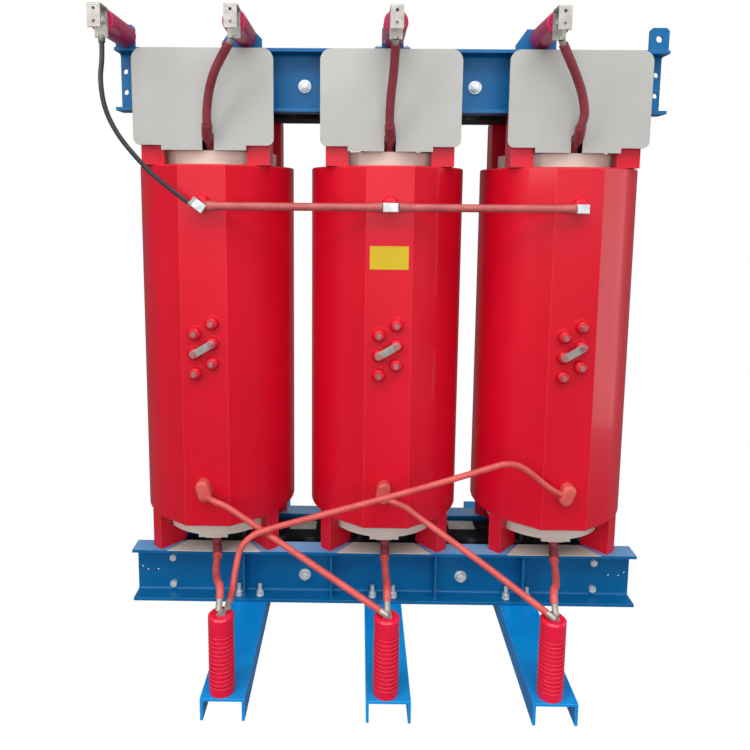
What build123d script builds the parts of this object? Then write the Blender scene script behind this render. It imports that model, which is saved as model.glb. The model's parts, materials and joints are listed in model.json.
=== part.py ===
"""Three-phase cast resin transformer, wired as an interconnected star.

Millimetres. X runs along the three coils, the terminals face -Y and Z is up.
The origin lies on the floor, under the middle leg of the core.
"""

import os
from math import acos, atan2, cos, degrees, hypot, radians, sin, sqrt, tan

from build123d import *

# ---------------------------------------------------------------- core
leg_pitch = 500.0
leg_strip_width = 158.0
leg_main_stack = 116.0
leg_second_strip = 132.0
leg_second_stack = 144.0
leg_third_strip = 94.0
leg_third_stack = 172.0
upper_yoke_drop = 8.0

# ---------------------------------------------------------------- frame
foot_width = 108.0
foot_height = 57.0
foot_wall = 7.0
foot_length = 1080.0
foot_pitch = 400.0
clamp_web = 8.0
clamp_flange = 9.0
clamp_depth = 59.0
clamp_root_radius = 7.0
yoke_padding = 5.0
lower_clamp_length = 1486.0
lower_clamp_height = 160.0
upper_clamp_length = 1494.0
upper_clamp_height = 167.0
gusset_thickness = 6.0
gusset_inset = 9.0
gusset_inner_x = 155.0
gusset_outer_x = 415.0
tie_plate_width = 60.0
stud_diameter = 16.0
stud_clearance = 1.0
stud_x = 236.0
stud_drop = 18.0
washer_diameter = 36.0
washer_thickness = 3.0
hex_across_flats = 24.0
hex_height = 11.0
foot_stud_diameter = 12.0
foot_stud_spacing = 62.0
foot_stud_reach = 34.0
foot_nut_across = 19.0
foot_nut_height = 10.0
cross_tie_gap = 56.0
cross_tie_height = 122.0
cross_tie_flange = 46.0
cross_tie_wall = 6.0
cross_bolt_drop = 10.0
cross_bolt_spacing = 84.0
end_hole_diameter = 14.0
end_hole_inset = 12.0
small_hole_places = ((12.0, -2.0), (28.0, -12.0), (59.0, -11.0))
end_hole_spacing = 56.0
small_hole_diameter = 8.0
lug_width = 52.0
lug_height = 58.0
lug_thickness = 8.0
lug_inset = 5.0
lug_hole_diameter = 18.0
lug_hole_rise = 29.0
lug_corner = 8.0
plate_width = 108.0
plate_top_width = 50.0
plate_low_shoulder = 12.0
plate_high_shoulder = 24.0
plate_height = 52.0
plate_shift = -11.0
bracket_width = 58.0
bracket_foot_width = 96.0
bracket_foot_depth = 44.0
bracket_foot_thickness = 5.0
bracket_bolt_diameter = 10.0
bracket_bolt_spacing = 70.0
bracket_bolt_across = 16.0
bracket_bolt_height = 7.0
fixing_bolt_diameter = 12.0
fixing_bolt_grip = 20.0
fixing_washer_diameter = 30.0

# ---------------------------------------------------------------- coils
winding_radius = 222.0
winding_bore_radius = 178.0
winding_height = 1009.0
panel_front = 225.0
panel_half_width = 63.0
winding_edge = 3.0
lower_block_height = 114.0
upper_block_height = 146.0
barrier_radius = 170.0
barrier_wall = 4.0
barrier_overhang_low = 54.0
barrier_overhang_high = 39.0
inner_winding_radius = 132.0
inner_winding_bore_radius = 108.0
block_width = 39.0
block_length = 88.0
block_turn = 42.0
block_corner_x = 158.0
block_corner_y = 145.0
press_block_width = 62.0
press_block_length = 74.0
press_block_corner_x = 112.0
press_block_corner_y = 172.0
duct_clearance = 2.0
outlet_width = 34.0
outlet_depth = 28.0
outlet_height = 26.0
collar_width = 84.0
collar_height = 9.0
collar_drop = 3.0
lower_outlet_width = 45.0
lower_outlet_drop = 14.0
press_pad_thickness = 2.0
pad_front_inset = 20.0
pad_back_inset = 12.0

# ---------------------------------------------------------------- taps
tap_offset_left = -25.0
tap_offset_right = 22.0
tap_left_low = 445.0
tap_right_low = 473.0
tap_step = 55.0
tap_base_radius = 19.0
tap_tip_radius = 12.0
tap_height = 20.0
tap_insert_radius = 8.0
tap_bolt_across = 13.0
tap_bolt_height = 7.0
link_width = 20.0
link_thickness = 5.0

# ---------------------------------------------------------------- star bar
tap_washer_thickness = 1.5
terminal_washer_diameter = 20.0
star_rise = 899.0
star_dome_radius = 22.0
star_dome_tip = 15.0
star_dome_height = 21.0
star_dome_lift = 9.0
star_bar_diameter = 21.0
star_bar_forward = 34.0
palm_reach = 26.0
palm_overhang = 12.0
palm_width = 23.0
palm_thickness = 5.0
palm_bite = 4.0
cone_diameter = 28.0
cone_length = 34.0
star_block_height = 24.0
star_block_depth = 9.0
star_block_widths = {"left": 33.0, "middle": 42.0, "right": 33.0}
star_block_tilts = {"left": -38.0, "middle": 0.0, "right": 0.0}

# ---------------------------------------------------------------- boards
board_half_width = 188.0
board_bottom = 1391.0
board_top = 1644.0
board_thickness = 5.0
board_forward = 187.0
board_top_corner = 30.0
board_bottom_corner = 18.0
tongue_half_width = 114.0
notch_width = 31.0
notch_top = 1430.0
strip_width = 30.0
strip_x = 140.0

# ---------------------------------------------------------------- insulators
insulator_diameter = 60.0
insulator_length = 168.0
insulator_seat_gap = 0.3
insulator_axis_rise = 27.0
insulator_edge = 4.0
neutral_x = -715.0
insulator_pitch = 395.0
insulator_middle_x = 4.0
terminal_width = 32.0
terminal_gap = 40.0
terminal_height = 56.0
terminal_drop = 14.0
terminal_bolt_across = 18.0
socket_shift = 7.0
socket_diameter = 16.0
socket_length = 12.0
socket_bite = 6.0
terminal_hole_diameter = 8.0
terminal_hole_spacing = 29.0
post_diameter = 62.0
post_height = 200.0
post_setback = 32.0
post_x_offset = -6.0
post_ribs = 13
post_plain_top = 36.0
post_plain_bottom = 22.0
post_groove_depth = 5.0
post_lug_width = 24.0
post_lug_bolt_across = 13.0
barrel_diameter = 16.0
barrel_bite = 3.0

# ---------------------------------------------------------------- leads
top_lead_diameter = 23.0
top_sleeve_diameter = 28.0
bottom_lead_diameter = 19.0
bottom_sleeve_diameter = 26.0
cross_lead_diameter = 16.5
cable_diameter = 12.0
boot_width = 48.0
boot_height = 62.0
boot_depth = 30.0
boot_edge = 10.0
boot_shift = {"left": -6.0, "middle": -8.0, "right": 0.0}
boot_tilt = {"left": 15.0, "middle": -10.0, "right": -20.0}
cross_lug_length = 22.0
cross_lug_side = 15.0
cross_lug_forward = 1.0
cross_lug_rise = 12.0
cross_low_back = 26.0
cross_low_run = 38.0
lug_seat_bite = 1.0
lead_lug_length = 27.0
lead_lug_side = 6.0
lead_lug_step = (16.0, 27.0)
lead_last_step = (31.0, 50.0)
cable_heading = 142.0
cable_barrel_length = 11.0
boot_rise = 113.0
yellow_plate_width = 104.0
yellow_plate_height = 63.0
yellow_plate_rise = 733.0
yellow_plate_thickness = 1.0

# ---------------------------------------------------------------- levels
lower_clamp_top = foot_height + lower_clamp_height
winding_bottom = lower_clamp_top + lower_block_height
winding_top = winding_bottom + winding_height
upper_clamp_bottom = winding_top + upper_block_height
upper_clamp_top = upper_clamp_bottom + upper_clamp_height
barrier_bottom = winding_bottom - barrier_overhang_low
barrier_top = winding_top + barrier_overhang_high
web_inner = leg_third_stack / 2 + yoke_padding
web_outer = web_inner + clamp_web
flange_tip = web_inner + clamp_depth
lower_yoke_middle = foot_height + leg_strip_width / 2
upper_yoke_middle = upper_clamp_bottom - upper_yoke_drop + leg_strip_width / 2
leg_x = {"left": -leg_pitch, "middle": 0.0, "right": leg_pitch}
foot_x = {"left": -foot_pitch, "middle": 0.0, "right": foot_pitch}
packets = [
    (leg_strip_width, 0.0, leg_main_stack / 2),
    (leg_second_strip, leg_main_stack / 2, leg_second_stack / 2),
    (leg_third_strip, leg_second_stack / 2, leg_third_stack / 2),
]
duct_middle = (inner_winding_radius + barrier_radius - barrier_wall) / 2
post_y = -(foot_length / 2 - post_setback)
post_top = foot_height + post_height
insulator_z = upper_clamp_top + insulator_axis_rise
insulator_base = -flange_tip - insulator_seat_gap
insulator_head = insulator_base - insulator_length
terminal_back = insulator_head - palm_thickness
terminal_bottom = insulator_z - terminal_height / 2 - terminal_drop
star_z = winding_bottom + star_rise
cross_tie_x = leg_pitch + leg_strip_width / 2 + cross_tie_gap


def block(x0, x1, y0, y1, z0, z1):
    """A box between two corners."""
    return Pos((x0 + x1) / 2, (y0 + y1) / 2, (z0 + z1) / 2) * Box(x1 - x0, y1 - y0, z1 - z0)


def rod(x, z, radius, y0, y1):
    """A round bar that runs along Y."""
    return Plane(origin=(x, y0, z), z_dir=(0, 1, 0)) * extrude(Circle(radius), y1 - y0)


def upright(x, y, radius, z0, z1):
    """A round bar that stands along Z."""
    return Pos(x, y, z0) * extrude(Circle(radius), z1 - z0)


def hex_along_y(x, z, across, y0, y1):
    """A hexagon nut or head whose axis runs along Y."""
    flat = RegularPolygon(across / 2, 6, major_radius=False)
    return Plane(origin=(x, y0, z), z_dir=(0, 1, 0)) * extrude(flat, y1 - y0)


def hex_upright(x, y, across, z0, z1):
    """A hexagon nut or head whose axis stands along Z."""
    return Pos(x, y, z0) * extrude(RegularPolygon(across / 2, 6, major_radius=False), z1 - z0)


def corner_radii(points):
    """The largest even bends that each corner of a route leaves room for."""
    runs = [Vector(*b) - Vector(*a) for a, b in zip(points, points[1:])]
    room = [0.45 * run.length for run in runs]
    room[0] *= 2
    room[-1] *= 2
    return [
        min(room[k], room[k + 1]) / tan(radians(runs[k].get_angle(runs[k + 1])) / 2)
        for k in range(len(runs) - 1)
    ]


def tube(points, diameter, stop=None):
    """A round lead along straight runs joined by tangent arcs, up to the stop-th point."""
    radii = corner_radii(points)
    if stop is not None:
        points, radii = points[:stop], radii[:stop - 2]
    path = FilletPolyline(*points, radius=radii)
    section = Plane(origin=path @ 0, z_dir=path % 0) * Circle(diameter / 2)
    return sweep(section, path=path)


def beyond(start, towards, distance):
    """The point at a distance from start on the way towards another point."""
    way = Vector(*towards) - Vector(*start)
    return tuple(Vector(*start) + way.normalized() * distance)


def rod_between(start, end, diameter):
    """A round bar from one point to another."""
    way = Vector(*end) - Vector(*start)
    return Plane(origin=start, z_dir=way) * extrude(Circle(diameter / 2), way.length)


def group(solids):
    """Separate solids kept in one node."""
    return Compound(children=list(solids))


def mirrored(shape):
    """The same shape on the far side of the core."""
    return mirror(shape, about=Plane.XZ)


# ---------------------------------------------------------------- core
def core_leg(x):
    """One stack of upright strips, stepped so that its plan fills a circle."""
    leg = None
    for width, near, far in packets:
        low = lower_yoke_middle + width / 2
        high = upper_yoke_middle - width / 2
        for side in (-1, 1):
            y0, y1 = sorted((side * near, side * far))
            slab = block(x - width / 2, x + width / 2, y0, y1, low, high)
            leg = slab if leg is None else leg + slab
    return leg


def core_yoke(middle, stud_z):
    """One stack of level strips across all three legs, bored for the clamp studs."""
    yoke = None
    for width, near, far in packets:
        end = leg_pitch + width / 2
        for side in (-1, 1):
            y0, y1 = sorted((side * near, side * far))
            slab = block(-end, end, y0, y1, middle - width / 2, middle + width / 2)
            yoke = slab if yoke is None else yoke + slab
    half = leg_third_stack / 2
    for x in (-stud_x, stud_x):
        yoke -= rod(x, stud_z, stud_diameter / 2 + stud_clearance, -half, half)
    return yoke


# ---------------------------------------------------------------- frame
def channel(length, bottom, height):
    """A rolled channel along X: web against the core, flanges to the front."""
    outer = block(-length / 2, length / 2, -flange_tip, -web_inner, bottom, bottom + height)
    pocket = block(
        -length / 2, length / 2, -flange_tip, -web_outer,
        bottom + clamp_flange, bottom + height - clamp_flange,
    )
    roots = pocket.edges().filter_by(Axis.X).group_by(Axis.Y)[-1]
    return outer - fillet(roots, clamp_root_radius)


def lower_clamp():
    """The lower front clamp with its gussets and holes."""
    bar = channel(lower_clamp_length, foot_height, lower_clamp_height)
    for x in (-gusset_outer_x, -gusset_inner_x, gusset_inner_x, gusset_outer_x):
        bar += block(
            x - gusset_thickness / 2, x + gusset_thickness / 2,
            -flange_tip + gusset_inset, -web_outer,
            foot_height + clamp_flange, lower_clamp_top - clamp_flange,
        )
    for x in (-stud_x, stud_x):
        bar -= rod(x, lower_stud_z, stud_diameter / 2 + stud_clearance, -web_outer, -web_inner)
    for x in (-cross_tie_x, cross_tie_x):
        for z in cross_bolt_levels():
            bar -= rod(x, z, cross_bolt_hole / 2, -web_outer, -web_inner)
    for side in (-1, 1):
        for inset, rise in small_hole_places:
            bar -= rod(
                side * (lower_clamp_length / 2 - inset), foot_height + lower_clamp_height / 2 + rise,
                small_hole_diameter / 2, -web_outer, -web_inner,
            )
    for x, y in foot_stud_places():
        bar -= upright(x, y, foot_stud_hole / 2, foot_height, foot_height + clamp_flange)
    return bar


def upper_clamp():
    """The upper front clamp, a plain channel with its stud and end holes."""
    bar = channel(upper_clamp_length, upper_clamp_bottom, upper_clamp_height)
    for x in (-stud_x, stud_x):
        bar -= rod(x, upper_stud_z, stud_diameter / 2 + stud_clearance, -web_outer, -web_inner)
    for side in (-1, 1):
        x = side * (upper_clamp_length / 2 - end_hole_inset)
        for z in (-end_hole_spacing / 2, end_hole_spacing / 2):
            middle = upper_clamp_bottom + upper_clamp_height / 2
            bar -= rod(x, middle + z, end_hole_diameter / 2, -web_outer, -web_inner)
    return bar


def lifting_lug(side):
    """An upright plate with an eye, welded on the flange's front edge."""
    outer = upper_clamp_length / 2 - lug_inset
    x = side * (outer - lug_width / 2)
    plate = block(
        x - lug_width / 2, x + lug_width / 2, -flange_tip, -flange_tip + lug_thickness,
        upper_clamp_top, upper_clamp_top + lug_height,
    )
    corners = plate.edges().filter_by(Axis.Y).group_by(Axis.Z)[-1]
    plate = chamfer(corners, lug_corner)
    eye = rod(x, upper_clamp_top + lug_hole_rise, lug_hole_diameter / 2, -flange_tip,
              -flange_tip + lug_thickness)
    return plate - eye


def insulator_plate(x):
    """An upright plate with sloping shoulders that carries one terminal insulator."""
    left, right = plate_shift - plate_width / 2, plate_shift + plate_width / 2
    with_shoulders = make_face(Polyline(
        (left, 0),
        (right, 0),
        (right, plate_high_shoulder),
        (plate_shift + plate_top_width / 2, plate_height),
        (plate_shift - plate_top_width / 2, plate_height),
        (left, plate_low_shoulder),
        close=True,
    ))
    front = Plane(origin=(x, -flange_tip, upper_clamp_top), x_dir=(1, 0, 0), z_dir=(0, -1, 0))
    return front * extrude(with_shoulders, -lug_thickness) - fixing_hole(x)


def insulator_bracket(x):
    """The bolted angle that carries the middle insulator."""
    back = -flange_tip + lug_thickness
    angle = block(x - bracket_width / 2, x + bracket_width / 2, -flange_tip, back,
                  upper_clamp_top, upper_clamp_top + plate_height)
    angle += block(
        x - bracket_foot_width / 2, x + bracket_foot_width / 2,
        back - 1, -flange_tip + bracket_foot_depth,
        upper_clamp_top, upper_clamp_top + bracket_foot_thickness,
    )
    for bolt_x, bolt_y in bracket_bolt_places(x):
        angle -= upright(bolt_x, bolt_y, bracket_bolt_hole / 2, upper_clamp_top,
                         upper_clamp_top + bracket_foot_thickness)
    return angle - fixing_hole(x)


def bracket_bolt_places(x):
    """Where the bracket's two bolts pass through the clamp's top flange."""
    y = -flange_tip + (lug_thickness + bracket_foot_depth) / 2
    return [(x + side * bracket_bolt_spacing / 2, y) for side in (-1, 1)]


def bracket_bolt(x, y):
    """A bolt down through the bracket's foot and the flange, with a nut below."""
    seat = upper_clamp_top + bracket_foot_thickness
    under = upper_clamp_top - clamp_flange
    low, high = under - bracket_bolt_height, seat + bracket_bolt_height
    bolt = upright(x, y, bracket_bolt_diameter / 2, low, high)
    bolt += hex_upright(x, y, bracket_bolt_across, seat, high)
    return bolt + hex_upright(x, y, bracket_bolt_across, low, under)


def fixing_hole(x):
    """The hole in a plate for the bolt that holds its insulator."""
    return rod(x, insulator_z, fixing_bolt_hole / 2, -flange_tip, -flange_tip + lug_thickness)


def fixing_bolt(x):
    """The bolt from behind into an insulator's base, with a wide washer."""
    seat = -flange_tip + lug_thickness
    bolt = rod(x, insulator_z, fixing_bolt_diameter / 2, insulator_base - fixing_bolt_grip, seat)
    bolt += rod(x, insulator_z, fixing_washer_diameter / 2, seat, seat + washer_thickness)
    return bolt + hex_along_y(x, insulator_z, terminal_bolt_across, seat + washer_thickness,
                              seat + washer_thickness + bracket_bolt_height)


def cross_bolt_levels():
    """Heights of the two bolts that hold each cross tie."""
    middle = foot_height + lower_clamp_height / 2 - cross_bolt_drop
    return (middle - cross_bolt_spacing / 2, middle + cross_bolt_spacing / 2)


def foot_stud_places():
    """Where the foot studs pass through the front clamp's lower flange."""
    y = -(web_outer + flange_tip) / 2 - 2
    return [
        (foot + side * foot_stud_spacing / 2, y)
        for foot in foot_x.values()
        for side in (-1, 1)
    ]


def foot(x):
    """A channel foot, open downwards, with two stud holes under each clamp."""
    half = foot_length / 2
    body = block(x - foot_width / 2, x + foot_width / 2, -half, half, 0, foot_height)
    body -= block(
        x - foot_width / 2 + foot_wall, x + foot_width / 2 - foot_wall,
        -half, half, 0, foot_height - foot_wall,
    )
    for stud, y in foot_stud_places():
        if abs(stud - x) < foot_width / 2:
            for side in (-1, 1):
                body -= upright(stud, side * y, foot_stud_hole / 2, 0, foot_height)
    body -= upright(x + post_x_offset, post_y, foot_stud_hole / 2, 0, foot_height)
    return body


def cross_tie(x):
    """A folded plate between the two lower clamps, with a bolting flange at each end."""
    low, high = lower_yoke_middle - cross_tie_height / 2, lower_yoke_middle + cross_tie_height / 2
    side = 1 if x > 0 else -1
    back = x - side * cross_tie_flange / 2
    x0, x1 = sorted((back, back + side * cross_tie_wall))
    tie = block(x0, x1, -web_inner, web_inner, low, high)
    f0, f1 = x - cross_tie_flange / 2, x + cross_tie_flange / 2
    for end in (-1, 1):
        y0, y1 = sorted((end * web_inner, end * (web_inner - cross_tie_wall)))
        tie += block(f0, f1, y0, y1, low, high)
        for z in cross_bolt_levels():
            tie -= rod(x, z, cross_bolt_hole / 2, y0, y1)
    return tie


def clamp_stud(x, z):
    """A stud right through both clamps and the yoke, with a washer and nut at each end."""
    end = web_outer + washer_thickness + hex_height + 6
    bolt = rod(x, z, stud_diameter / 2, -end, end)
    for side in (-1, 1):
        y0, y1 = sorted((side * web_outer, side * (web_outer + washer_thickness)))
        bolt += rod(x, z, washer_diameter / 2, y0, y1)
        y0, y1 = sorted((
            side * (web_outer + washer_thickness),
            side * (web_outer + washer_thickness + hex_height),
        ))
        bolt += hex_along_y(x, z, hex_across_flats, y0, y1)
    return bolt


def cross_bolt(x, z, side):
    """A short bolt that holds a cross tie to one clamp."""
    inner, outer = web_inner - cross_tie_wall, web_outer
    y0, y1 = sorted((side * (inner - foot_nut_height - 4), side * (outer + foot_nut_height)))
    bolt = rod(x, z, foot_stud_diameter / 2, y0, y1)
    y0, y1 = sorted((side * outer, side * (outer + foot_nut_height)))
    bolt += hex_along_y(x, z, foot_nut_across, y0, y1)
    y0, y1 = sorted((side * (inner - foot_nut_height), side * inner))
    bolt += hex_along_y(x, z, foot_nut_across, y0, y1)
    return bolt


def foot_stud(x, y):
    """A stud up through a foot and a clamp flange, with a nut above and a head below."""
    under = foot_height - foot_wall
    seat = foot_height + clamp_flange
    bolt = upright(x, y, foot_stud_diameter / 2, under - foot_nut_height, seat + foot_stud_reach)
    bolt += hex_upright(x, y, foot_nut_across, under - foot_nut_height, under)
    bolt += upright(x, y, foot_nut_across * 0.6, seat, seat + washer_thickness)
    bolt += hex_upright(x, y, foot_nut_across, seat + washer_thickness,
                        seat + washer_thickness + foot_nut_height)
    return bolt


def tie_plate(x):
    """A flat steel strap up the front of one leg, between the clamps' webs."""
    half = leg_third_stack / 2
    return block(
        x - tie_plate_width / 2, x + tie_plate_width / 2, -half - yoke_padding, -half,
        foot_height + 6, upper_clamp_top - 6,
    )


def yoke_pads(bottom, top, stud_z):
    """Pressboard strips between the yoke and the front clamp, clear of the tie plates."""
    half = leg_third_stack / 2
    ends = [-leg_pitch - leg_third_strip / 2]
    for x in leg_x.values():
        ends += [x - tie_plate_width / 2, x + tie_plate_width / 2]
    ends.append(leg_pitch + leg_third_strip / 2)
    pads = []
    for x0, x1 in zip(ends[::2], ends[1::2]):
        pad = block(x0, x1, -half - yoke_padding, -half, bottom, top)
        for x in (-stud_x, stud_x):
            if x0 < x < x1:
                pad -= rod(x, stud_z, stud_diameter / 2 + stud_clearance,
                           -half - yoke_padding, -half)
        pads.append(pad)
    return pads


# ---------------------------------------------------------------- coils
def winding_outline():
    """A circle with a flat front panel whose sides run on as tangents."""
    corner = sqrt(panel_front**2 + panel_half_width**2)
    lean = atan2(panel_half_width, panel_front) + acos(winding_radius / corner)
    touch_x, touch_y = winding_radius * sin(lean), -winding_radius * cos(lean)
    panel = make_face(Polyline(
        (-panel_half_width, -panel_front),
        (panel_half_width, -panel_front),
        (touch_x, touch_y),
        (-touch_x, touch_y),
        close=True,
    ))
    return Circle(winding_radius) + panel


def tap_places():
    """The six tap terminals: offset along X and height, lowest first in each column."""
    left = [(tap_offset_left, winding_bottom + tap_left_low + k * tap_step) for k in range(3)]
    right = [(tap_offset_right, winding_bottom + tap_right_low + k * tap_step) for k in range(3)]
    return left, right


def dome(x, z, base, tip, height):
    """A cast resin boss on the front panel, rounded off towards its flat tip."""
    knee = (base - (base - tip) * 0.22, height * 0.68)
    half = make_face([
        Line((0, 0), (base, 0)),
        ThreePointArc((base, 0), knee, (tip, height)),
        Line((tip, height), (0, height)),
        Line((0, height), (0, 0)),
    ])
    upward = revolve(Plane.XZ * half, Axis.Z)
    return Pos(x, -panel_front, z) * Rot(90, 0, 0) * upward


def outer_winding(x):
    """One outer coil cast in resin with its tap and star terminal bosses."""
    body = extrude(winding_outline(), winding_height) - extrude(
        Circle(winding_bore_radius), winding_height
    )
    rim = (winding_bore_radius + winding_radius) / 2
    outside = [
        edge for edge in body.edges()
        if abs((edge @ 0).Z - (edge @ 1).Z) < 1 and hypot((edge @ 0.5).X, (edge @ 0.5).Y) > rim
    ]
    body = chamfer(outside, winding_edge)
    body = Pos(0, 0, winding_bottom) * body
    left, right = tap_places()
    for across, z in left + right:
        body += dome(across, z, tap_base_radius, tap_tip_radius, tap_height)
    body += dome(0, star_z + star_dome_lift, star_dome_radius, star_dome_tip, star_dome_height)
    return Pos(x, 0, 0) * body


def barrier_cylinder(x):
    """The insulating tube between the inner and the outer winding."""
    ring = Circle(barrier_radius) - Circle(barrier_radius - barrier_wall)
    return Pos(x, 0, barrier_bottom) * extrude(ring, barrier_top - barrier_bottom)


def inner_winding(x, lead_x):
    """The inner coil with a lead outlet at each end of its front and a collar under the lower."""
    ring = Circle(inner_winding_radius) - Circle(inner_winding_bore_radius)
    coil = Pos(x, 0, barrier_bottom) * extrude(ring, barrier_top - barrier_bottom)
    front, back = -inner_winding_radius - outlet_depth, -inner_winding_radius + winding_edge
    top = barrier_top - outlet_height
    coil += block(lead_x - outlet_width / 2, lead_x + outlet_width / 2, front, back,
                  top - outlet_height, top)
    low = barrier_bottom - lower_outlet_drop
    coil += block(x - lower_outlet_width / 2, x + lower_outlet_width / 2, front, back,
                  low, barrier_bottom + outlet_height)
    coil += block(x - collar_width / 2, x + collar_width / 2, front, back,
                  barrier_bottom - collar_drop - collar_height, barrier_bottom - collar_drop)
    return coil


def block_outline(width, length, turn, corner_x, corner_y):
    """Plan of the front right block under or over a coil, turned about its front corner."""
    along = (sin(radians(turn)), -cos(radians(turn)))
    across = (cos(radians(turn)), sin(radians(turn)))
    points = [
        (corner_x - a * length * along[0] + b * width * across[0],
         -corner_y - a * length * along[1] + b * width * across[1])
        for a, b in ((0, 0), (0, 1), (1, 1), (1, 0))
    ]
    return make_face(Polyline(*points, close=True))


def support_block(outline, bottom, top, inner_bottom, inner_top):
    """A resin block: full height against the outer coil, stepped back inside it."""
    step = winding_bore_radius + duct_clearance
    whole = Pos(0, 0, bottom) * extrude(outline, top - bottom)
    inside = Pos(0, 0, bottom) * extrude(Circle(step), top - bottom)
    keep = Pos(0, 0, inner_bottom) * extrude(Circle(step), inner_top - inner_bottom)
    return (whole - inside) + (whole & keep)


def four_blocks(shape):
    """The same block at the four corners of a coil."""
    right = [shape, mirrored(shape)]
    return right + [mirror(s, about=Plane.YZ) for s in right]


def lower_blocks(x):
    """The four blocks under one coil."""
    plan = block_outline(block_width, block_length, block_turn, block_corner_x, block_corner_y)
    shape = support_block(plan, lower_clamp_top, winding_bottom, lower_clamp_top, barrier_bottom)
    return [Pos(x, 0, 0) * s for s in four_blocks(shape)]


def upper_blocks(x):
    """The four blocks on top of one coil, cut back round the yoke."""
    plan = block_outline(press_block_width, press_block_length, 0, press_block_corner_x,
                         press_block_corner_y)
    shape = support_block(plan, winding_top, upper_clamp_bottom, barrier_top, upper_clamp_bottom)
    yoke_slot = block(0, 2 * winding_radius, -web_inner - 1, 0,
                      upper_clamp_bottom - upper_yoke_drop - 1, upper_clamp_bottom + 1)
    shape -= yoke_slot
    return [Pos(x, 0, 0) * s for s in four_blocks(shape)]


def press_pad(x):
    """A sheet of pressboard on the clamp's flange, between the two front blocks."""
    front, back = flange_tip + 4, web_inner + 1
    narrow = block_corner_x - block_length * sin(radians(block_turn)) * 0.9
    face = make_face(Polyline(
        (-block_corner_x + pad_front_inset, -front), (block_corner_x - pad_front_inset, -front),
        (narrow - pad_back_inset, -back), (-narrow + pad_back_inset, -back), close=True,
    ))
    return Pos(x, 0, lower_clamp_top) * extrude(face, press_pad_thickness)


# ---------------------------------------------------------------- terminals
def tap_bolt(x, z, seat):
    """A hexagon bolt head on its washer, on a tap boss or on the link bar."""
    high = seat - tap_washer_thickness
    bolt = rod(x, z, tap_insert_radius, high, seat)
    return bolt + hex_along_y(x, z, tap_bolt_across, high - tap_bolt_height, high)


def tap_link(x):
    """The bar that joins the two middle tap terminals of one coil."""
    left, right = tap_places()
    (x0, z0), (x1, z1) = left[1], right[1]
    length = sqrt((x1 - x0) ** 2 + (z1 - z0) ** 2)
    tilt = degrees(atan2(z1 - z0, x1 - x0))
    seat = -panel_front - tap_height
    plan = Plane(origin=(x + (x0 + x1) / 2, seat, (z0 + z1) / 2), x_dir=(1, 0, 0), z_dir=(0, -1, 0))
    return plan * Rot(0, 0, tilt) * extrude(SlotCenterToCenter(length, link_width), link_thickness)


def palm(x, z, layer, heading):
    """The flattened end of a lead, bolted on a star terminal and pointing along its lead."""
    seat = -panel_front - star_dome_height - layer * palm_thickness
    flat = Pos((palm_reach - palm_overhang) / 2, 0) * Rectangle(
        palm_reach + palm_overhang, palm_width
    )
    plan = Plane(origin=(x, seat, z), x_dir=(1, 0, 0), z_dir=(0, -1, 0))
    return plan * Rot(0, 0, heading) * extrude(flat, palm_thickness)


def star_bar(x0, x1, layer0, layer1):
    """One insulated bar of the star connection, swelling towards the palm at each end."""
    y = -panel_front - star_bar_forward
    inset = palm_reach - palm_bite
    bar = rod_between((x0 + inset, y, star_z), (x1 - inset, y, star_z), star_bar_diameter)
    for end, side in ((x0 + inset, 1), (x1 - inset, -1)):
        wide = Plane(origin=(end, y, star_z), z_dir=(side, 0, 0)) * Circle(cone_diameter / 2)
        thin = Plane(origin=(end + side * cone_length, y, star_z),
                     z_dir=(side, 0, 0)) * Circle(star_bar_diameter / 2)
        bar += loft([wide, thin])
    return bar + palm(x0, star_z, layer0, 0) + palm(x1, star_z, layer1, 180)


def star_bolt(x, layers, width, tilt):
    """The clamping block of a star terminal."""
    seat = -panel_front - star_dome_height - layers * palm_thickness
    plan = Plane(origin=(x, seat, star_z), x_dir=(1, 0, 0), z_dir=(0, -1, 0))
    body = plan * Rot(0, 0, tilt) * extrude(Rectangle(width, star_block_height), star_block_depth)
    return chamfer(body.edges().group_by(Axis.Y)[0], star_block_depth / 5)


def insulator(x):
    """A smooth resin insulator lying along Y, its base on the upright plate."""
    body = rod(x, insulator_z, insulator_diameter / 2, insulator_head, insulator_base)
    body = fillet(body.edges().filter_by(GeomType.CIRCLE), insulator_edge)
    depth = fixing_bolt_grip + stud_clearance
    return body - rod(x, insulator_z, fixing_bolt_hole / 2, insulator_base - depth, insulator_base)


def terminal(x, socket_tip, lead_next):
    """A folded silver-plated bar on the insulator's head, with a socket for its lead below."""
    t = palm_thickness
    top = insulator_z + terminal_height / 2
    x0, x1 = x - terminal_width / 2, x + terminal_width / 2
    front = terminal_back - terminal_gap - t
    bar = block(x0, x1, terminal_back, insulator_head, terminal_bottom, top)
    bar += block(x0, x1, front, insulator_head, top - t, top)
    bar += block(x0, x1, front, front + t, insulator_z - terminal_height / 2, top)
    fold = bar.edges().filter_by(Axis.X).filter_by(
        lambda e: e.center().Z > top - 0.1 and (e.center().Y < front + 0.1))
    bar = fillet(fold, t - 1)
    for z in (-terminal_hole_spacing / 2, terminal_hole_spacing / 2):
        bar -= rod(x, insulator_z + z, terminal_hole_diameter / 2, front, front + t)
    inside = (socket_tip[0], socket_tip[1], socket_tip[2] + socket_bite)
    bar += rod_between(inside, socket_tip, socket_diameter)
    return bar + rod_between(socket_tip, beyond(socket_tip, lead_next, socket_length),
                             socket_diameter)


def terminal_bolt(x):
    """The bolt that holds the folded bar on the insulator's head."""
    high = terminal_back - tap_washer_thickness
    bolt = rod(x, insulator_z, terminal_washer_diameter / 2, high, terminal_back)
    return bolt + hex_along_y(x, insulator_z, terminal_bolt_across, high - bracket_bolt_height,
                              high)


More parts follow.
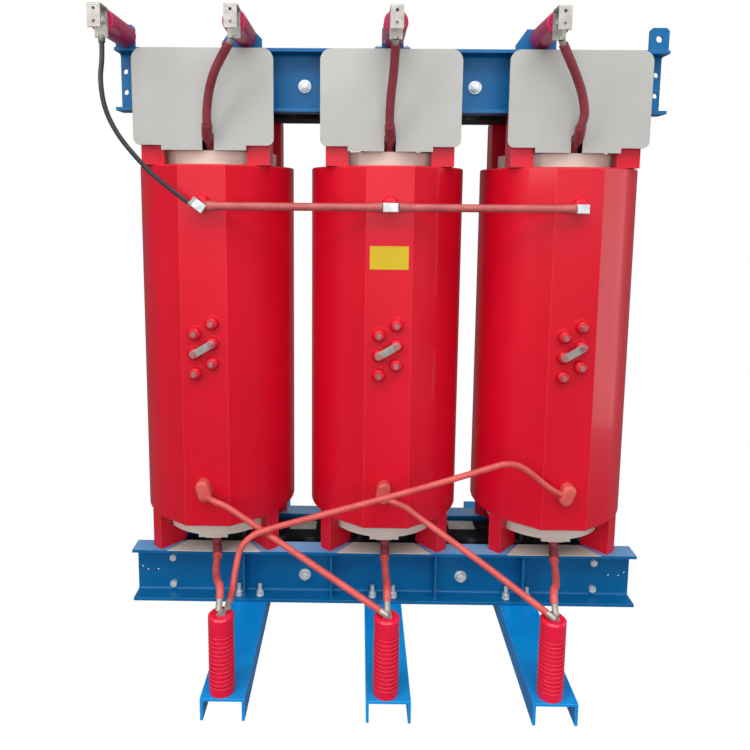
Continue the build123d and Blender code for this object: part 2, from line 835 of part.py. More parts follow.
def post(x):
    """A ribbed post insulator standing on the front end of a foot."""
    radius = post_diameter / 2
    neck = radius - post_groove_depth
    ribbed = post_height - post_plain_top - post_plain_bottom
    pitch = ribbed / post_ribs
    points = [(0, 0), (radius, 0), (radius, post_plain_bottom)]
    for k in range(post_ribs):
        z = post_plain_bottom + k * pitch
        points += [(neck, z + 0.15 * pitch), (neck, z + 0.45 * pitch), (radius, z + 0.6 * pitch)]
        points.append((radius, z + pitch))
    points += [(radius, post_height - 4), (radius - 4, post_height), (0, post_height)]
    profile = Plane.XZ * make_face(Polyline(*points, close=True))
    return Pos(x, post_y, foot_height) * revolve(profile, Axis.Z)


def post_lug(x, lead_end, lead_next, cross_end, cross_next):
    """The joined lugs on a post: one barrel for each of the two leads that meet there."""
    half = post_lug_width / 2
    high = post_top + palm_thickness
    plate = block(x - half + barrel_bite, x + half, post_y - half, post_y + half, post_top, high)
    barrels = rod_between(beyond(lead_end, lead_next, -lead_lug_length), lead_end, barrel_diameter)
    barrels += rod_between(beyond(cross_end, cross_next, -cross_lug_length), cross_end,
                           barrel_diameter)
    above = block(x - 2 * half, x + 2 * half, post_y - 2 * half, post_y + 3 * half,
                  post_top, post_top + 3 * half)
    head = hex_upright(x, post_y - half / 2, post_lug_bolt_across, high, high + palm_thickness)
    return plate + (barrels & above) + head


# ---------------------------------------------------------------- leads
def top_lead(points):
    """The lead from an inner coil's top outlet up to its terminal insulator."""
    return tube(points, top_lead_diameter) + tube(points, top_sleeve_diameter, 4)


def bottom_lead(points):
    """The lead from an inner coil's bottom outlet forward to a post."""
    return tube(points, bottom_lead_diameter) + tube(points, bottom_sleeve_diameter, 3)


def boot(x, tilt):
    """The shrunk sleeve round the bolted end of an outer coil's lower lead."""
    face = SlotCenterToCenter(boot_height - boot_width * 0.8, boot_width * 0.8)
    plan = Plane(origin=(x, -panel_front, winding_bottom + boot_rise), x_dir=(1, 0, 0),
                 z_dir=(0, -1, 0))
    body = plan * Rot(0, 0, 90 + tilt) * extrude(face, boot_depth)
    front = body.edges().group_by(Axis.Y)[0]
    return fillet(front, boot_edge)


def cross_lead(x_boot, tilt, route):
    """The lead from an outer coil's lower terminal across to a post, boot included."""
    return boot(x_boot, tilt) + tube(route, cross_lead_diameter)


# ---------------------------------------------------------------- lead boards
def lead_board(x, notch_x):
    """The insulating board behind a top lead, notched where the lead comes through."""
    front, back = -board_forward - board_thickness, -board_forward
    sheet = block(x - board_half_width, x + board_half_width, front, back, board_bottom, board_top)
    uprights = sheet.edges().filter_by(Axis.Y)
    sheet = fillet(uprights.group_by(Axis.Z)[-1], board_top_corner)
    lower = sheet.edges().filter_by(Axis.Y).filter_by(lambda e: e.center().Z < board_bottom + 1)
    sheet = fillet(lower, board_bottom_corner)
    sheet += block(x - tongue_half_width, x + tongue_half_width, front, back,
                   barrier_top - 1, board_bottom + board_bottom_corner + 1)
    arch = notch_top - notch_width / 2
    notch = block(notch_x - notch_width / 2, notch_x + notch_width / 2, front, back,
                  barrier_top - 1, arch)
    notch += rod(notch_x, arch, notch_width / 2, front, back)
    return sheet - notch


def board_strips(x):
    """Spacer strips between the clamp's flanges and one board."""
    return [
        block(x + side * strip_x - strip_width / 2, x + side * strip_x + strip_width / 2,
              -board_forward, -flange_tip, upper_clamp_bottom, board_top)
        for side in (-1, 1)
    ]


# ---------------------------------------------------------------- derived for the fasteners
lower_stud_z = lower_yoke_middle - stud_drop
upper_stud_z = upper_clamp_bottom + upper_clamp_height / 2 - stud_drop / 2
cross_bolt_hole = foot_stud_diameter + stud_clearance
foot_stud_hole = foot_stud_diameter + stud_clearance
fixing_bolt_hole = fixing_bolt_diameter + stud_clearance
bracket_bolt_hole = bracket_bolt_diameter + stud_clearance
phase_x = {
    "a": insulator_middle_x - insulator_pitch,
    "b": insulator_middle_x,
    "c": insulator_middle_x + insulator_pitch,
}
post_x = {side: x + post_x_offset for side, x in foot_x.items()}

# ---------------------------------------------------------------- routes, chosen by hand
def steps_from(anchor, steps):
    """Route points given as steps away from an anchor point."""
    return [tuple(start + step for start, step in zip(anchor, point)) for point in steps]


socket_y = terminal_back + palm_thickness / 2
socket_tips = {
    "n": (neutral_x, socket_y, terminal_bottom),
    "a": (phase_x["a"] - socket_shift, socket_y, terminal_bottom),
    "b": (phase_x["b"], socket_y, terminal_bottom),
    "c": (phase_x["c"] + socket_shift, socket_y, terminal_bottom),
}
duct_tops = {side: (x, -duct_middle, barrier_top) for side, x in leg_x.items()}
duct_bottoms = {side: (x, -duct_middle, barrier_bottom) for side, x in leg_x.items()}
plate_faces = {phase: (x, -flange_tip, insulator_z) for phase, x in phase_x.items()}
post_heads = {side: (x, post_y, post_top) for side, x in post_x.items()}
boot_faces = {
    side: (x, -panel_front, winding_bottom + boot_rise) for side, x in leg_x.items()
}

top_routes = {
    "a": steps_from(duct_tops["left"], [
        (12, 0, -outlet_height), (12, 0, 17), (12, -57, 37), (18, -77, 63), (19, -85, 93),
    ]) + steps_from(plate_faces["a"], [(-80, -102, -160), (-60, -126, -112)]),
    "b": steps_from(duct_tops["middle"], [
        (-1, 0, -outlet_height), (-1, 0, 17), (-1, -57, 37), (-4, -77, 63), (-5, -85, 93),
    ]) + steps_from(plate_faces["b"], [(-7, -102, -160), (-2, -126, -112)]),
    "c": steps_from(duct_tops["right"], [
        (-4, 0, -outlet_height), (-4, 0, 17), (-4, -57, 37), (-7, -77, 63), (0, -85, 93),
    ]) + steps_from(plate_faces["c"], [(87, -102, -160), (59, -126, -112)]),
}
for phase, route in top_routes.items():
    route.append(beyond(socket_tips[phase], route[-1], socket_length))
notch_x = dict(zip(leg_x, (route[0][0] for route in top_routes.values())))

bottom_routes = {
    "left": steps_from(duct_bottoms["left"], [
        (9, 0, -lower_outlet_drop), (9, 0, -39), (24, -66, -41), (35, -141, -31),
    ]) + steps_from(post_heads["left"], [
        (-40, 138, 11), (-25, 78, 35), (-lead_lug_side, *lead_last_step),
        (-lead_lug_side, *lead_lug_step),
    ]),
    "middle": steps_from(duct_bottoms["middle"], [
        (3, 0, -lower_outlet_drop), (3, 0, -39), (0, -66, -41), (-1, -141, -31),
    ]) + steps_from(post_heads["middle"], [
        (4, 138, 11), (3, 78, 35), (1, *lead_last_step), (1, *lead_lug_step),
    ]),
    "right": steps_from(duct_bottoms["right"], [
        (-2, 0, -lower_outlet_drop), (-2, 0, -39), (-19, -66, -41), (-37, -141, -31),
    ]) + steps_from(post_heads["right"], [
        (46, 138, 11), (28, 78, 35), (lead_lug_side, *lead_last_step),
        (lead_lug_side, *lead_lug_step),
    ]),
}

cross_lug_step = (-cross_lug_side, -cross_lug_forward, cross_lug_rise)
cross_low = palm_thickness + cross_lead_diameter / 2 - lug_seat_bite
cross_routes = {
    "left": steps_from(boot_faces["left"], [
        (-3, -18, -14), (26, -37, -20), (60, -45, -29), (102, -60, -48),
    ]) + steps_from(post_heads["middle"], [(-204, 112, 75), cross_lug_step]),
    "middle": steps_from(boot_faces["middle"], [
        (-5, -18, -14), (28, -37, -20), (57, -43, -29), (91, -60, -50),
    ]) + steps_from(post_heads["right"], [(-156, 118, 73), cross_lug_step]),
    "right": steps_from(boot_faces["right"], [
        (-12, -18, 0), (-38, -31, 16), (-68, -39, 38), (-113, -47, 78), (-148, -55, 102),
        (-186, -61, 107), (-251, -69, 89),
    ]) + steps_from(boot_faces["middle"], [(120, -81, 53), (-40, -93, 11)])
    + steps_from(post_heads["left"], [
        (228, 178, 163), (106, 163, 135), (54, 156, 119), (23, 140, 93), (16, 104, 49),
        (cross_lug_side, cross_low_back + cross_low_run, cross_low),
        (cross_lug_side, cross_low_back, cross_low),
    ]),
}
cross_of_post = {"left": "right", "middle": "left", "right": "middle"}

cable_route = [
    beyond(socket_tips["n"], (neutral_x, socket_y, 0), socket_length),
    (neutral_x, socket_y, 1590), (-722, -324, 1540), (-716, -319, 1470), (-690, -307, 1407),
    (-645, -293, 1347), (-605, -280, 1302),
] + steps_from((leg_x["left"], -panel_front, star_z), [(-65, -39, 38), (-30, -26, 9)])

os.makedirs("parts", exist_ok=True)


def save(name, shape):
    """Write one node."""
    if isinstance(shape, (list, tuple)):
        shape = group(shape)
    export_step(shape, f"parts/{name}.step")


for name, x in leg_x.items():
    save(f"core_leg_{name}", core_leg(x))
    save(f"outer_winding_{name}", outer_winding(x))
    save(f"barrier_cylinder_{name}", barrier_cylinder(x))
    save(f"inner_winding_{name}", inner_winding(x, notch_x[name]))
save("core_lower_yoke", core_yoke(lower_yoke_middle, lower_stud_z))
save("core_upper_yoke", core_yoke(upper_yoke_middle, upper_stud_z))

front_upper = upper_clamp()
save("upper_clamp_rear", mirrored(front_upper))
for x, y in bracket_bolt_places(phase_x["b"]):
    front_upper -= upright(x, y, bracket_bolt_hole / 2, upper_clamp_top - clamp_flange,
                           upper_clamp_top)
save("upper_clamp_front", front_upper)
lugs = [lifting_lug(side) for side in (-1, 1)]
save("lifting_lugs", lugs + [mirrored(lug) for lug in lugs])
save("insulator_plates", [
    insulator_plate(phase_x["a"]), insulator_bracket(phase_x["b"]), insulator_plate(phase_x["c"]),
])
save("lower_clamp_front", lower_clamp())
save("lower_clamp_rear", mirrored(lower_clamp()))
for name, x in foot_x.items():
    save(f"foot_{name}", foot(x))
save("cross_ties", [cross_tie(-cross_tie_x), cross_tie(cross_tie_x)])
save("clamp_studs", [
    clamp_stud(x, z) for x in (-stud_x, stud_x) for z in (lower_stud_z, upper_stud_z)
])
save("cross_tie_bolts", [
    cross_bolt(x, z, side)
    for x in (-cross_tie_x, cross_tie_x) for z in cross_bolt_levels() for side in (-1, 1)
])
save("foot_studs", [
    foot_stud(x, side * y) for x, y in foot_stud_places() for side in (-1, 1)
])
straps = [tie_plate(x) for x in leg_x.values()]
save("leg_tie_plates", straps + [mirrored(s) for s in straps])
pads = yoke_pads(lower_yoke_middle - leg_third_strip / 2, lower_yoke_middle + leg_third_strip / 2,
                 lower_stud_z)
pads += yoke_pads(upper_yoke_middle - leg_third_strip / 2, upper_yoke_middle + leg_third_strip / 2,
                  upper_stud_z)
pads += [press_pad(x) for x in leg_x.values()]
save("pressboard_pads", pads + [mirrored(p) for p in pads])

save("lower_support_blocks", [b for x in leg_x.values() for b in lower_blocks(x)])
save("upper_press_blocks", [b for x in leg_x.values() for b in upper_blocks(x)])
save("lead_boards", [lead_board(x, notch_x[name]) for name, x in leg_x.items()])
save("board_strips", [s for x in leg_x.values() for s in board_strips(x)])

terminals = {"n": neutral_x, **phase_x}
lead_nexts = {"n": cable_route[0], **{phase: route[-1] for phase, route in top_routes.items()}}
for name, x in terminals.items():
    save(f"top_insulator_{name}", insulator(x))
save("terminal_bars", [
    terminal(x, socket_tips[name], lead_nexts[name]) for name, x in terminals.items()
])
save("insulator_bolts", [
    bolt(x) for x in terminals.values() for bolt in (terminal_bolt, fixing_bolt)
] + [bracket_bolt(x, y) for x, y in bracket_bolt_places(phase_x["b"])])

save("tap_links", [tap_link(x) for x in leg_x.values()])
bolts = []
for x in leg_x.values():
    for column in tap_places():
        for row, (across, z) in enumerate(column):
            seat = -panel_front - tap_height - (link_thickness if row == 1 else 0)
            bolts.append(tap_bolt(x + across, z, seat))
save("tap_bolts", bolts)

save("star_bar_left", star_bar(leg_x["left"], leg_x["middle"], 0, 0))
save("star_bar_right", star_bar(leg_x["middle"], leg_x["right"], 1, 0))
palm_layers = {"left": 2, "middle": 2, "right": 1}
save("star_bolts", [
    star_bolt(x, palm_layers[side], star_block_widths[side], star_block_tilts[side])
    for side, x in leg_x.items()
])
cable_barrel = rod_between(
    cable_route[-1], beyond(cable_route[-1], cable_route[-2], -cable_barrel_length),
    cable_diameter,
)
save("neutral_cable_lug", palm(leg_x["left"], star_z, 1, cable_heading) + cable_barrel)
save("neutral_cable", tube(cable_route, cable_diameter))

for name, x in post_x.items():
    save(f"post_insulator_{name}", post(x))
save("post_lugs", [
    post_lug(x, *bottom_routes[side][:-3:-1], *cross_routes[cross_of_post[side]][:-3:-1])
    for side, x in post_x.items()
])

for phase, route in top_routes.items():
    save(f"top_lead_{phase}", top_lead(route))
for side, route in bottom_routes.items():
    save(f"bottom_lead_{side}", bottom_lead(route))
    boot_x = leg_x[side] + boot_shift[side]
    save(f"cross_lead_{side}", cross_lead(boot_x, boot_tilt[side], cross_routes[side]))

yellow = winding_bottom + yellow_plate_rise
save("coil_plate", block(
    -yellow_plate_width / 2, yellow_plate_width / 2,
    -panel_front - yellow_plate_thickness, -panel_front,
    yellow, yellow + yellow_plate_height,
))

cable_bends = corner_radii(cable_route)
print("neutral cable bend radii, mm:", [round(radius) for radius in cable_bends])
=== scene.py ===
"""The looks of a cast resin transformer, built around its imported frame. Metres, in the frame's axes."""

import json
from math import cos, radians, sin

import bpy
from mathutils import Matrix, Vector


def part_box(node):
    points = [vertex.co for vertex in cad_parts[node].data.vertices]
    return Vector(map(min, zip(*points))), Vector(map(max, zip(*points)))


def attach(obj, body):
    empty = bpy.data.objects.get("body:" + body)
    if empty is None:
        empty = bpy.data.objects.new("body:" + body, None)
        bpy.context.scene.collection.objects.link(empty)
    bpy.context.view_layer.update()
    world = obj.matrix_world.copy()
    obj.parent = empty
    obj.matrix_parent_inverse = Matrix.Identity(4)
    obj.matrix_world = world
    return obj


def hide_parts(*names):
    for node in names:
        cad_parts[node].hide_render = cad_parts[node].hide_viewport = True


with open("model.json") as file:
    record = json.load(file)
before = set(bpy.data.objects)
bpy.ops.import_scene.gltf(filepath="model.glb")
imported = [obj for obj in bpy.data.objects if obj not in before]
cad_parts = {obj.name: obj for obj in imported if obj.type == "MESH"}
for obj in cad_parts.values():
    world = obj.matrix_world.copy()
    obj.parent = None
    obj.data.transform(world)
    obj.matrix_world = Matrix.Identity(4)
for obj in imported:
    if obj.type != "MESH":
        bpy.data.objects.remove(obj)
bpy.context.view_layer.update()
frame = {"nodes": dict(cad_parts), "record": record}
nodes = frame["nodes"]
MM = 0.001


# ---------------------------------------------------------------- material helpers
def new_material(name):
    """A node material with its shader and output, ready to wire."""
    material = bpy.data.materials.new(name)
    material.use_nodes = True
    tree = material.node_tree
    tree.nodes.clear()
    shader = tree.nodes.new("ShaderNodeBsdfPrincipled")
    output = tree.nodes.new("ShaderNodeOutputMaterial")
    tree.links.new(shader.outputs["BSDF"], output.inputs["Surface"])
    return material, tree, shader


def add(tree, kind, **values):
    """A node with some of its input sockets set, named with underscores for spaces."""
    node = tree.nodes.new(kind)
    for key, value in values.items():
        node.inputs[key.replace("_", " ")].default_value = value
    return node


def place(tree, scale=(1, 1, 1)):
    """Coordinates in metres in the frame, stretched by scale."""
    where = tree.nodes.new("ShaderNodeTexCoord")
    mapping = add(tree, "ShaderNodeMapping", Scale=scale)
    tree.links.new(where.outputs["Object"], mapping.inputs["Vector"])
    return mapping.outputs["Vector"]


def noise(tree, vector, scale, detail=3.0):
    """Soft noise between 0 and 1."""
    node = add(tree, "ShaderNodeTexNoise", Scale=scale, Detail=detail)
    tree.links.new(vector, node.inputs["Vector"])
    return node.outputs["Fac"]


def ramp(tree, value, stops):
    """A colour ramp with the given (place, colour) stops."""
    node = tree.nodes.new("ShaderNodeValToRGB")
    elements = node.color_ramp.elements
    while len(elements) > 1:
        elements.remove(elements[-1])
    elements[0].position, elements[0].color = stops[0][0], (*stops[0][1], 1)
    for where, colour in stops[1:]:
        elements.new(where).color = (*colour, 1)
    tree.links.new(value, node.inputs["Fac"])
    return node.outputs["Color"]


def stretch(tree, value, low, high):
    """A value from 0 to 1 moved to run from low to high."""
    node = add(tree, "ShaderNodeMapRange", To_Min=low, To_Max=high)
    tree.links.new(value, node.inputs["Value"])
    return node.outputs["Result"]


def bump(tree, height, distance, strength, normal=None):
    """A bump whose height runs over distance metres, on top of an earlier normal."""
    node = add(tree, "ShaderNodeBump", Strength=strength, Distance=distance)
    tree.links.new(height, node.inputs["Height"])
    if normal is not None:
        tree.links.new(normal, node.inputs["Normal"])
    return node.outputs["Normal"]


def eased_edges(tree, radius):
    """A normal that rounds the edges by radius metres."""
    node = add(tree, "ShaderNodeBevel", Radius=radius)
    node.samples = 4
    return node.outputs["Normal"]


def creases(tree, radius, gain):
    """How strongly a point lies on a bent or cut edge, from 0 to 1."""
    flat = tree.nodes.new("ShaderNodeNewGeometry")
    dot = tree.nodes.new("ShaderNodeVectorMath")
    dot.operation = "DOT_PRODUCT"
    tree.links.new(eased_edges(tree, radius), dot.inputs[0])
    tree.links.new(flat.outputs["Normal"], dot.inputs[1])
    away = add(tree, "ShaderNodeMapRange", From_Min=1.0, From_Max=1.0 - 1.0 / gain)
    tree.links.new(dot.outputs["Value"], away.inputs["Value"])
    return away.outputs["Result"]


def blend(tree, share, below, above):
    """A plain colour laid over another by a share from 0 to 1."""
    node = tree.nodes.new("ShaderNodeMix")
    node.data_type = "RGBA"
    tree.links.new(share, node.inputs["Factor"])
    tree.links.new(below, node.inputs["A"])
    node.inputs["B"].default_value = (*above, 1)
    return node.outputs["Result"]


def finish_with(tree, shader, normal, colour, roughness):
    """Wires the finished channels into the shader."""
    for output, socket in ((normal, "Normal"), (colour, "Base Color"), (roughness, "Roughness")):
        tree.links.new(output, shader.inputs[socket])


# ---------------------------------------------------------------- kinds of surface
def cast_resin(name, deep, pale, painted_edge_highlight, rough):
    """Glossy cast epoxy: a mould's slow wave, clouded gloss, a fine skin and a painted highlight, paler
    colour along the creases standing in for light caught on the edges.
    """
    material, tree, shader = new_material(name)
    here = place(tree)
    tall = place(tree, (1.0, 1.0, 0.25))
    colour = ramp(tree, noise(tree, tall, 5.0, 4.0), [(0.3, deep), (0.7, pale)])
    # painted highlight: a paler colour along the creases stands in for light caught on the edges
    colour = blend(tree, creases(tree, 3 * MM, 9.0), colour, painted_edge_highlight)
    clouded = stretch(tree, noise(tree, tall, 18.0, 5.0), rough - 0.06, rough + 0.1)
    wave = bump(tree, noise(tree, tall, 7.0, 2.0), 4 * MM, 0.5, eased_edges(tree, 2 * MM))
    skin = bump(tree, noise(tree, here, 260.0, 2.0), 0.2 * MM, 0.35, wave)
    finish_with(tree, shader, skin, colour, clouded)
    shader.inputs["Coat Weight"].default_value = 0.16
    shader.inputs["Coat Roughness"].default_value = 0.08
    shader.inputs["Specular IOR Level"].default_value = 0.3
    return material


def enamel(name, level):
    """Satin blue paint on steel: brush-and-spray texture, and a painted highlight, paler blue along the
    edges standing in for light caught on them.
    """
    material, tree, shader = new_material(name)
    here = place(tree)
    colour = ramp(tree, noise(tree, here, 9.0, 5.0), [
        (0.25, (0.0, 0.09 * level, 0.25 * level)),
        (0.6, (0.0, 0.118 * level, 0.3 * level)),
        (0.85, (0.003, 0.15 * level, 0.36 * level)),
    ])
    # painted highlight: a paler blue along bent and cut edges stands in for light caught on them
    colour = blend(tree, creases(tree, 2.5 * MM, 3.0), colour, (0.05, 0.24 * level, 0.5 * level))
    peel = bump(tree, noise(tree, here, 380.0, 2.0), 0.3 * MM, 0.5, eased_edges(tree, 1.5 * MM))
    finish_with(tree, shader, peel, colour, stretch(tree, noise(tree, here, 40.0, 4.0), 0.3, 0.5))
    shader.inputs["Specular IOR Level"].default_value = 0.34
    return material


def laminations(name):
    """Varnished strip edges: fine lines across the stack, a few of them bare."""
    material, tree, shader = new_material(name)
    strips = noise(tree, place(tree, (0.0, 1.0, 0.0)), 900.0, 1.0)
    worn = noise(tree, place(tree), 14.0, 5.0)
    bare = tree.nodes.new("ShaderNodeMath")
    bare.operation = "MULTIPLY"
    tree.links.new(strips, bare.inputs[0])
    tree.links.new(worn, bare.inputs[1])
    colour = ramp(tree, bare.outputs["Value"], [
        (0.2, (0.003, 0.003, 0.004)), (0.34, (0.009, 0.009, 0.01)), (0.46, (0.11, 0.11, 0.11)),
    ])
    finish_with(tree, shader, bump(tree, strips, 0.4 * MM, 0.7), colour, stretch(tree, worn, 0.55, 0.8))
    shader.inputs["Specular IOR Level"].default_value = 0.12
    return material


def plated(name, colour, low, high, metallic):
    """Plated or tinned metal: dulled in clouds between two roughnesses, with a fine grain."""
    material, tree, shader = new_material(name)
    here = place(tree)
    cloud = noise(tree, here, 60.0, 5.0)
    dull = tuple(c * 0.72 for c in colour)
    pale = tuple(min(1.0, c * 1.12) for c in colour)
    base = ramp(tree, cloud, [(0.3, dull), (0.55, colour), (0.8, pale)])
    grain = bump(tree, noise(tree, here, 700.0, 3.0), 0.1 * MM, 0.6, eased_edges(tree, 0.8 * MM))
    finish_with(tree, shader, grain, base, stretch(tree, cloud, low, high))
    shader.inputs["Metallic"].default_value = metallic
    return material


def smooth_sheet(name, pale, dull, rough):
    """Pressed sheet, or paint with a painted sheen: nearly plain, with faint clouds and a soft sheen."""
    material, tree, shader = new_material(name)
    here = place(tree)
    base = ramp(tree, noise(tree, here, 6.0, 4.0), [(0.3, dull), (0.7, pale)])
    grain = bump(tree, noise(tree, here, 220.0, 4.0), 0.3 * MM, 0.4, eased_edges(tree, 1 * MM))
    clouded = stretch(tree, noise(tree, here, 30.0), rough - 0.06, rough + 0.08)
    finish_with(tree, shader, grain, base, clouded)
    return material


def shrunk_sleeve(name, pale, dull, rough):
    """Shrunk tubing over a lead: dusty colour with long soft wrinkles."""
    material, tree, shader = new_material(name)
    here = place(tree)
    base = ramp(tree, noise(tree, here, 22.0, 5.0), [(0.3, dull), (0.7, pale)])
    wrinkle = bump(tree, noise(tree, here, 55.0, 3.0), 2 * MM, 0.5)
    grain = bump(tree, noise(tree, here, 400.0, 2.0), 0.2 * MM, 0.4, wrinkle)
    clouded = stretch(tree, noise(tree, here, 60.0), rough - 0.08, rough + 0.1)
    finish_with(tree, shader, grain, base, clouded)
    return material


# ---------------------------------------------------------------- materials by slot
materials = {
    # the painted_edge_highlight colours of the cast resins are painted highlights along their creases
    "coil_resin": cast_resin(
        "coil_resin_look", deep=(0.53, 0.001, 0.012), pale=(0.64, 0.003, 0.02), painted_edge_highlight=(0.78, 0.07, 0.08),
        rough=0.36),
    "post_resin": cast_resin(
        "post_resin_look", deep=(0.64, 0.004, 0.032), pale=(0.8, 0.01, 0.05), painted_edge_highlight=(0.85, 0.05, 0.09),
        rough=0.24),
    "frame_paint": enamel("frame_enamel", level=1.0),
    "core_steel": laminations("core_laminations"),
    "galvanised": plated("galvanised_look", (0.76, 0.78, 0.76), low=0.3, high=0.5, metallic=0.45),
    "tinned_copper": plated("tinned_look", (0.45, 0.43, 0.38), low=0.38, high=0.55, metallic=0.6),
    "pale_board": smooth_sheet("pale_board_look", (0.4, 0.4, 0.37), (0.37, 0.36, 0.33), rough=0.5),
    "barrier_sheet": smooth_sheet("barrier_look", (0.72, 0.62, 0.52), (0.64, 0.54, 0.44), rough=0.45),
    "pressboard": smooth_sheet("pressboard_look", (0.62, 0.58, 0.52), (0.52, 0.47, 0.4), rough=0.7),
    "pink_sleeve": shrunk_sleeve("pink_sleeve_look", (0.46, 0.1, 0.09), (0.34, 0.06, 0.058), rough=0.45),
    "dark_sleeve": shrunk_sleeve("dark_sleeve_look", (0.25, 0.036, 0.05), (0.17, 0.022, 0.032), rough=0.45),
    "black_cable": shrunk_sleeve("black_cable_look", (0.04, 0.041, 0.045), (0.024, 0.025, 0.028), rough=0.4),
    "yellow_plate": smooth_sheet("yellow_plate_look", (0.58, 0.4, 0.002), (0.52, 0.35, 0.001), rough=0.5),
}

# ---------------------------------------------------------------- finer looks within a slot
materials["lead_pink"] = shrunk_sleeve("lead_pink_look", (0.64, 0.1, 0.085), (0.48, 0.06, 0.052), rough=0.42)
# painted light: the feet get a copy of the frame enamel 2.3 times brighter, standing in for the stronger
# light on them
materials["lit_foot_paint"] = enamel("lit_foot_enamel", level=2.3)
# painted sheen: a pale blue for the clamps' flat tops, standing in for a bright reflection
materials["painted_sheen_paint"] = smooth_sheet("painted_sheen_enamel", (0.2, 0.36, 0.6), (0.1, 0.25, 0.48), rough=0.35)
materials["tap_steel"] = plated("tap_bolt_look", (0.5, 0.19, 0.19), low=0.25, high=0.5, metallic=0.45)
# its painted_edge_highlight colour is a painted highlight along the creases
materials["terminal_resin"] = cast_resin(
    "terminal_resin_look", deep=(0.38, 0.01, 0.065), pale=(0.47, 0.016, 0.085), painted_edge_highlight=(0.55, 0.03, 0.08),
    rough=0.2)

sides = ("left", "middle", "right")
finer_looks = {"tap_bolts": "tap_steel"}
for side in sides:
    finer_looks[f"cross_lead_{side}"] = "lead_pink"
    finer_looks[f"bottom_lead_{side}"] = "lead_pink"
    finer_looks[f"foot_{side}"] = "lit_foot_paint"
for letter in "nabc":
    finer_looks[f"top_insulator_{letter}"] = "terminal_resin"


# ---------------------------------------------------------------- dressing the pieces
def dress(obj, look):
    """Gives a whole piece one look."""
    obj.data.materials.clear()
    obj.data.materials.append(materials[look])


def dress_faces(obj, look, test):
    """Gives the faces whose middle passes a test another look."""
    obj.data.materials.append(materials[look])
    last = len(obj.data.materials) - 1
    for face in obj.data.polygons:
        if test(obj.matrix_world @ face.center):
            face.material_index = last


for part in frame["record"]["subparts"]:
    node = part["node"]
    dress(nodes[node], finer_looks.get(node, part["material_slot"]))

# pale collars round the lead outlets under the inner coils, and painted shade on the leads' first run under
# the coils, where the darker sleeve look stands in for their shadow
collar_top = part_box("barrier_cylinder_left")[0].z + 1 * MM
collar_back = -120 * MM
painted_shade_front = -210 * MM
for side in sides:
    dress_faces(nodes[f"inner_winding_{side}"], "barrier_sheet",
                lambda middle: middle.z < collar_top and middle.y < collar_back)
    # painted shade: the darker sleeve stands in for the shadow under the coil
    dress_faces(nodes[f"bottom_lead_{side}"], "dark_sleeve", lambda middle: middle.y > painted_shade_front)

# painted sheen on the flat tops of the lower clamps: a pale blue stands in for the glossy reflection of a
# bright light
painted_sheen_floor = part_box("lower_clamp_front")[1].z - 0.5 * MM
for side in ("front", "rear"):
    dress_faces(nodes[f"lower_clamp_{side}"], "painted_sheen_paint", lambda middle: middle.z > painted_sheen_floor)

# black sleeve over the neutral terminal's socket, which starts 73 mm below the insulator's top
socket_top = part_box("top_insulator_n")[1].z - 73 * MM
first_phase_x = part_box("top_insulator_a")[0].x
dress_faces(nodes["terminal_bars"], "black_cable",
            lambda middle: middle.z < socket_top and middle.x < first_phase_x)


# ---------------------------------------------------------------- bare stickers on the yoke
sticker_thickness = 0.3 * MM


def sticker(name, x_range, y_range, floor):
    """A thin bare sticker lying flat on the lower yoke, its ranges in millimetres."""
    (x0, x1), (y0, y1) = x_range, y_range
    mesh = bpy.data.meshes.new(name)
    outline = ((x0, y0), (x1, y0), (x1, y1), (x0, y1))
    corners = [(x * MM, y * MM, z) for z in (floor, floor + sticker_thickness) for x, y in outline]
    faces = [(3, 2, 1, 0), (4, 5, 6, 7), (0, 1, 5, 4), (1, 2, 6, 5), (2, 3, 7, 6), (3, 0, 4, 7)]
    mesh.from_pydata(corners, [], faces)
    label = bpy.data.objects.new(name, mesh)
    bpy.context.scene.collection.objects.link(label)
    label.data.materials.append(materials["tinned_copper"])
    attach(label, "root")


yoke_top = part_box("core_lower_yoke")[1].z
sticker("yoke_sticker_left", (-292, -209), (-8, 45), yoke_top)
sticker("yoke_sticker_right", (212, 295), (4, 59), yoke_top)


# ---------------------------------------------------------------- the neutral cable
cable_diameter = 12 * MM
cable_points = [
    (-715, -320.8, 1626), (-715, -320.8, 1590), (-722, -324, 1540), (-716, -319, 1470),
    (-690, -307, 1407), (-645, -293, 1347), (-605, -280, 1302), (-565, -264, 1268),
    (-530, -251, 1239),
]


def round_cord(name, points, diameter, slot):
    """A cord along one smooth spline through its route's control points, given in millimetres."""
    curve = bpy.data.curves.new(name, "CURVE")
    curve.dimensions = "3D"
    curve.bevel_depth = diameter / 2
    curve.bevel_resolution = 6
    curve.resolution_u = 24
    curve.use_fill_caps = True
    spline = curve.splines.new("NURBS")
    spline.points.add(len(points) - 1)
    for point, (x, y, z) in zip(spline.points, points):
        point.co = (x * MM, y * MM, z * MM, 1)
    spline.order_u = 3
    spline.use_endpoint_u = True
    cord = bpy.data.objects.new(name, curve)
    bpy.context.scene.collection.objects.link(cord)
    cord.data.materials.append(materials[slot])
    return cord


cable = round_cord("neutral_cable_run", cable_points, cable_diameter, "black_cable")
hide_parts("neutral_cable")
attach(cable, "root")


# ---------------------------------------------------------------- camera
def aimed(position, yaw, pitch, roll):
    """A camera's matrix from where it stands and how far it is turned, in degrees."""
    turn = Matrix.Rotation(radians(yaw), 3, "Z")
    forward = turn @ Vector((0, cos(radians(pitch)), -sin(radians(pitch))))
    right = turn @ Vector((1, 0, 0))
    up = right.cross(forward)
    tilted_right = right * cos(radians(roll)) + up * sin(radians(roll))
    tilted_up = up * cos(radians(roll)) - right * sin(radians(roll))
    matrix = Matrix.Identity(4)
    for row in range(3):
        matrix[row] = (tilted_right[row], tilted_up[row], -forward[row], position[row])
    return matrix


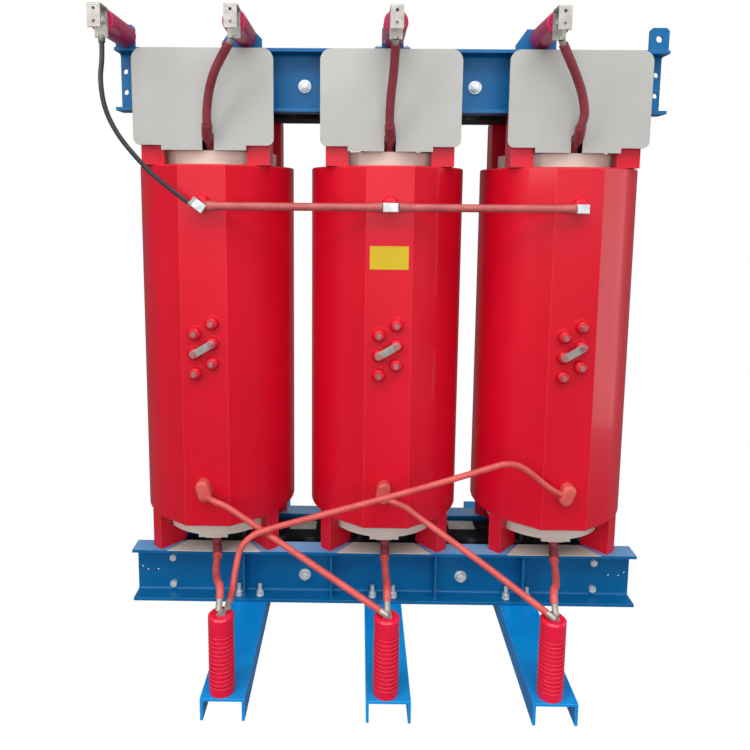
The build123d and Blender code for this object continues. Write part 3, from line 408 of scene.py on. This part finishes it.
camera_data = bpy.data.cameras.new("camera")
camera_data.sensor_width = 36.0
camera_data.lens = 32.147
camera_data.shift_x = 0.02983
camera_data.shift_y = -0.12576
camera = bpy.data.objects.new("camera", camera_data)
bpy.context.scene.collection.objects.link(camera)
camera.matrix_world = aimed((-0.08134, -2.0110, 1.2525), yaw=0.5205, pitch=6.9896, roll=0.4861)
bpy.context.scene.camera = camera


# ---------------------------------------------------------------- lights and backdrop
def area_light(name, place_at, look_at, size, watts, colour=(1, 1, 1), in_gloss=True):
    """A soft panel lamp, size wide and high, that faces a point and may stay out of reflections."""
    data = bpy.data.lights.new(name, "AREA")
    data.shape = "RECTANGLE"
    data.size, data.size_y = size
    data.energy = watts
    data.color = colour
    lamp = bpy.data.objects.new(name, data)
    lamp.location = place_at
    direction = Vector(look_at) - Vector(place_at)
    lamp.rotation_euler = direction.to_track_quat("-Z", "Y").to_euler()
    lamp.visible_glossy = in_gloss
    bpy.context.scene.collection.objects.link(lamp)
    return lamp


def white_world(seen, around):
    """One colour where the camera looks past the object, another where it only lights it."""
    world = bpy.data.worlds.new("world")
    bpy.context.scene.world = world
    world.use_nodes = True
    tree = world.node_tree
    tree.nodes.clear()
    ray = tree.nodes.new("ShaderNodeLightPath")
    shown = add(tree, "ShaderNodeBackground", Color=(*seen, 1), Strength=1.0)
    lit = add(tree, "ShaderNodeBackground", Color=(*around, 1), Strength=1.0)
    mix = tree.nodes.new("ShaderNodeMixShader")
    output = tree.nodes.new("ShaderNodeOutputWorld")
    tree.links.new(ray.outputs["Is Camera Ray"], mix.inputs["Fac"])
    tree.links.new(lit.outputs["Background"], mix.inputs[1])
    tree.links.new(shown.outputs["Background"], mix.inputs[2])
    tree.links.new(mix.outputs["Shader"], output.inputs["Surface"])


centre = (0, 0, 0.85)
area_light("window_left", (-2.8, -2.6, 2.6), centre, size=(1.0, 2.6), watts=42)
area_light("window_right", (3.3, -0.2, 0.75), (0.7, -0.2, 0.8), size=(1.1, 2.0), watts=17)
behind = area_light("window_behind", (0, 4.2, 2.4), centre, size=(6.0, 1.8), watts=120, in_gloss=False)
behind.visible_camera = False
area_light("ceiling", (0, -2.1, 3.9), (0, -0.4, 0.7), size=(4.6, 2.2), watts=132)
area_light("hall", (0, -4.6, 2.3), (0, 0, 1.3), size=(5.0, 2.6), watts=58, colour=(0.86, 0.88, 1.0))
area_light("front_fill", (0.1, -4.4, 1.0), centre, size=(3.4, 2.2), watts=62, in_gloss=False)
white_world(seen=(1.0, 1.0, 1.0), around=(0.2, 0.21, 0.23))

bpy.context.scene.view_settings.view_transform = "Standard"
